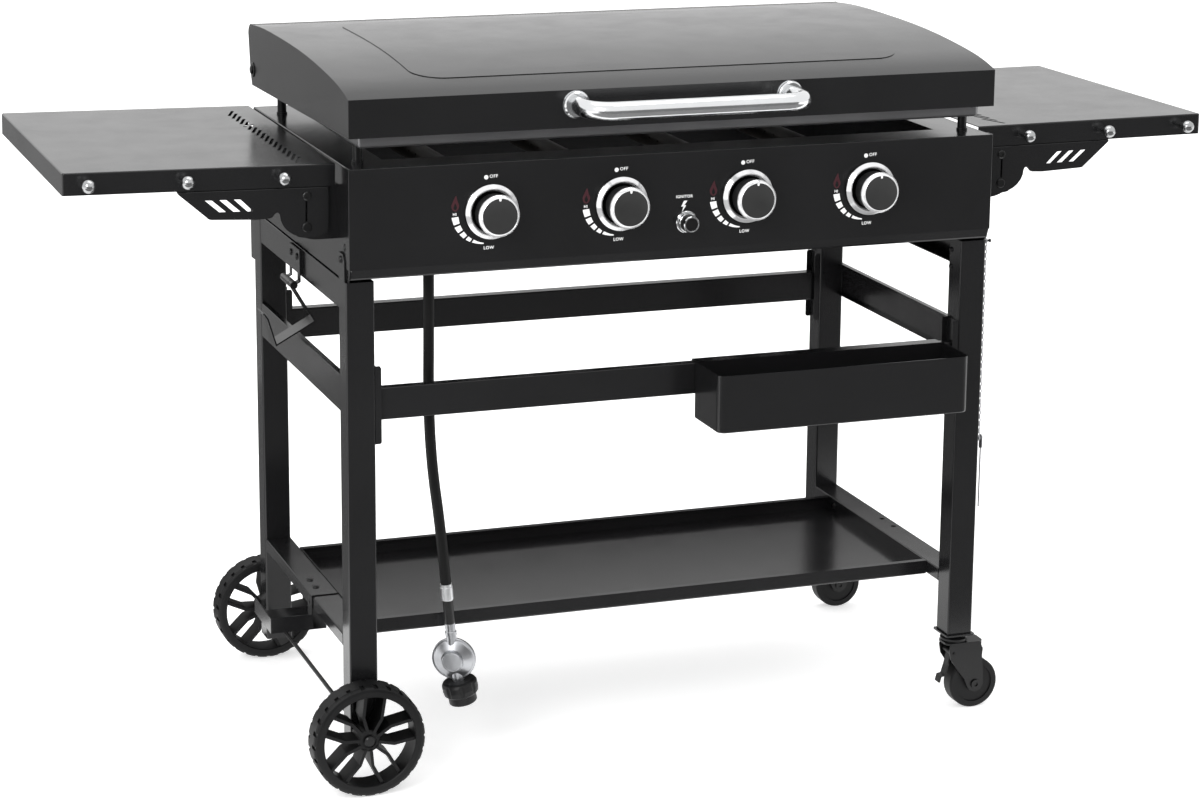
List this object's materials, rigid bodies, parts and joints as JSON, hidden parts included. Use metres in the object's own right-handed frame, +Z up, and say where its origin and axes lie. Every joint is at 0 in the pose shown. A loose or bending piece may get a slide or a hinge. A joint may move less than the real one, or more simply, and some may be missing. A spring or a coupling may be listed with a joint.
{
  "type": "outdoor gas griddle station",
  "caption": "Outdoor gas griddle on a wheeled tube frame with a hinged lid, fold-down side shelves, a control panel, a floor tray and a hanging bin.",
  "frame": {"origin": "centre of the floor area that the object covers, at floor level", "axes": "+X to the right seen from the front, -Y is the front with the knobs, +Z up"},
  "size_m": [1.6269, 0.6642, 0.9642],
  "materials": {
    "black_powder_coat": "black powder coat, semi-gloss",
    "lid_powder_coat": "black powder coat, semi-gloss",
    "griddle_steel": "seasoned cold-rolled steel",
    "chrome": "polished chrome",
    "zinc_steel": "zinc plated",
    "black_steel": "blackened hardware",
    "burner_steel": "stainless tube",
    "brass": "machined brass",
    "aluminium": "die-cast, satin",
    "hose_rubber": "smooth rubber",
    "black_plastic": "moulded plastic",
    "wheel_plastic": "moulded plastic"
  },
  "bodies": {
    "frame": {"leg_front_left": "black_powder_coat", "leg_front_right": "black_powder_coat", "leg_rear_left": "black_powder_coat", "leg_rear_right": "black_powder_coat", "upper_side_rails": "black_powder_coat", "middle_side_rails": "black_powder_coat", "lower_side_rails": "black_powder_coat", "front_rail": "black_powder_coat", "rear_rail": "black_powder_coat", "rail_end_brackets": "black_powder_coat", "bottom_tray": "black_powder_coat", "condiment_bin": "black_powder_coat", "tank_tray_bracket": "black_powder_coat", "tank_hook_bracket": "black_powder_coat", "wheel_axle": "black_steel", "firebox_shell": "black_powder_coat", "control_panel": "black_powder_coat", "rear_shield": "black_powder_coat", "griddle_plate": "griddle_steel", "griddle_feet": "black_steel", "burner_tubes": "burner_steel", "gas_manifold": "zinc_steel", "valve_bodies": "brass", "knob_bezels": "chrome", "igniter_bezel": "chrome", "lid_hinge_plates": "black_powder_coat", "shelf_support_brackets": "black_powder_coat", "gas_hose": "hose_rubber", "hose_ferrule": "aluminium", "regulator": "aluminium", "fasteners": "black_steel"},
    "lid": {"lid_shell": "lid_powder_coat", "lid_handle": "chrome", "handle_roses": "chrome"},
    "shelf_left": {"side_shelf_left": "black_powder_coat", "shelf_brackets_left": "black_powder_coat", "shelf_hardware_left": "chrome"},
    "shelf_right": {"side_shelf_right": "black_powder_coat", "shelf_brackets_right": "black_powder_coat", "shelf_hardware_right": "chrome"},
    "bottle_hook": {"tank_hook": "black_powder_coat"},
    "road_wheel_front": {"wheel_front_left": "wheel_plastic"},
    "road_wheel_rear": {"wheel_rear_left": "wheel_plastic"},
    "caster_front": {"caster_fork_front": "black_steel"},
    "caster_rear": {"caster_fork_rear": "black_steel"},
    "caster_front_wheel": {"caster_wheel_front": "wheel_plastic"},
    "caster_rear_wheel": {"caster_wheel_rear": "wheel_plastic"},
    "brake_pedal": {"brake_lever": "black_plastic"},
    "ignition_button": {"igniter_button": "black_plastic"},
    "coupling_nut": {"regulator_nut": "black_plastic"},
    "chain": {"lighting_chain": "zinc_steel"},
    "match_rod": {"lighting_rod": "zinc_steel"},
    "valve_stem_body_1": {"valve_stem_1": "brass"},
    "knob_body_1": {"knob_1": "black_plastic"},
    "valve_stem_body_2": {"valve_stem_2": "brass"},
    "knob_body_2": {"knob_2": "black_plastic"},
    "valve_stem_body_3": {"valve_stem_3": "brass"},
    "knob_body_3": {"knob_3": "black_plastic"},
    "valve_stem_body_4": {"valve_stem_4": "brass"},
    "knob_body_4": {"knob_4": "black_plastic"}
  },
  "joints": [
    {"name": "lid_hinge", "type": "hinge", "parent": "frame", "child": "lid", "pos_m": [0, 0.2675, 0.895], "axis": [-1, 0, 0], "range_deg": [0, 100]},
    {"name": "shelf_left_fold", "type": "hinge", "parent": "frame", "child": "shelf_left", "pos_m": [-0.499, 0.0415, 0.7591], "axis": [0, -1, 0], "range_deg": [0, 90]},
    {"name": "shelf_right_fold", "type": "hinge", "parent": "frame", "child": "shelf_right", "pos_m": [0.499, 0.0415, 0.761], "axis": [0, 1, 0], "range_deg": [0, 90]},
    {"name": "bottle_hook_swing", "type": "hinge", "parent": "frame", "child": "bottle_hook", "pos_m": [-0.4707, 0.0155, 0.64], "axis": [0, 1, 0], "range_deg": [-14, 45]},
    {"name": "road_wheel_front_spin", "type": "hinge", "parent": "frame", "child": "road_wheel_front", "pos_m": [-0.4435, -0.2665, 0.0765], "axis": [0, 1, 0], "continuous": true},
    {"name": "road_wheel_rear_spin", "type": "hinge", "parent": "frame", "child": "road_wheel_rear", "pos_m": [-0.4435, 0.3075, 0.0765], "axis": [0, 1, 0], "continuous": true},
    {"name": "caster_front_swivel", "type": "hinge", "parent": "frame", "child": "caster_front", "pos_m": [0.44, -0.2245, 0.105], "axis": [0, 0, 1], "continuous": true},
    {"name": "caster_front_wheel_spin", "type": "hinge", "parent": "caster_front", "child": "caster_front_wheel", "pos_m": [0.4685, -0.2245, 0.037], "axis": [0, 1, 0], "continuous": true},
    {"name": "caster_rear_swivel", "type": "hinge", "parent": "frame", "child": "caster_rear", "pos_m": [0.44, 0.2501, 0.105], "axis": [0, 0, 1], "continuous": true},
    {"name": "caster_rear_wheel_spin", "type": "hinge", "parent": "caster_rear", "child": "caster_rear_wheel", "pos_m": [0.4685, 0.2501, 0.037], "axis": [0, 1, 0], "continuous": true},
    {"name": "brake_pedal_press", "type": "hinge", "parent": "caster_front", "child": "brake_pedal", "pos_m": [0.4335, -0.2245, 0.086], "axis": [0, -1, 0], "range_deg": [0, 10]},
    {"name": "ignition_button_press", "type": "slide", "parent": "frame", "child": "ignition_button", "axis": [0, 1, 0], "range_m": [0, 0.005], "stiffness_N_per_m": 300},
    {"name": "knob_1_push", "type": "slide", "parent": "frame", "child": "valve_stem_body_1", "axis": [0, 1, 0], "range_m": [0, 0.003], "stiffness_N_per_m": 1500},
    {"name": "knob_1_turn", "type": "hinge", "parent": "valve_stem_body_1", "child": "knob_body_1", "pos_m": [-0.2655, -0.2775, 0.7758], "axis": [0, -1, 0], "range_deg": [0, 180]},
    {"name": "knob_2_push", "type": "slide", "parent": "frame", "child": "valve_stem_body_2", "axis": [0, 1, 0], "range_m": [0, 0.003], "stiffness_N_per_m": 1500},
    {"name": "knob_2_turn", "type": "hinge", "parent": "valve_stem_body_2", "child": "knob_body_2", "pos_m": [-0.0857, -0.2775, 0.7758], "axis": [0, -1, 0], "range_deg": [0, 180]},
    {"name": "knob_3_push", "type": "slide", "parent": "frame", "child": "valve_stem_body_3", "axis": [0, 1, 0], "range_m": [0, 0.003], "stiffness_N_per_m": 1500},
    {"name": "knob_3_turn", "type": "hinge", "parent": "valve_stem_body_3", "child": "knob_body_3", "pos_m": [0.0941, -0.2775, 0.7758], "axis": [0, -1, 0], "range_deg": [0, 180]},
    {"name": "knob_4_push", "type": "slide", "parent": "frame", "child": "valve_stem_body_4", "axis": [0, 1, 0], "range_m": [0, 0.003], "stiffness_N_per_m": 1500},
    {"name": "knob_4_turn", "type": "hinge", "parent": "valve_stem_body_4", "child": "knob_body_4", "pos_m": [0.2739, -0.2775, 0.7758], "axis": [0, -1, 0], "range_deg": [0, 180]},
    {"name": "coupling_nut_spin", "type": "hinge", "parent": "frame", "child": "coupling_nut", "pos_m": [-0.2995, -0.1915, 0.146], "axis": [0.208, 0, -0.9781], "continuous": true},
    {"name": "chain_swing", "type": "hinge", "parent": "frame", "child": "chain", "pos_m": [0.4664, -0.2295, 0.6862], "axis": [1, 0, 0], "range_deg": [-60, 60]},
    {"name": "match_rod_swing", "type": "hinge", "parent": "chain", "child": "match_rod", "pos_m": [0.4664, -0.2295, 0.401], "axis": [1, 0, 0], "range_deg": [-60, 60]}
  ]
}
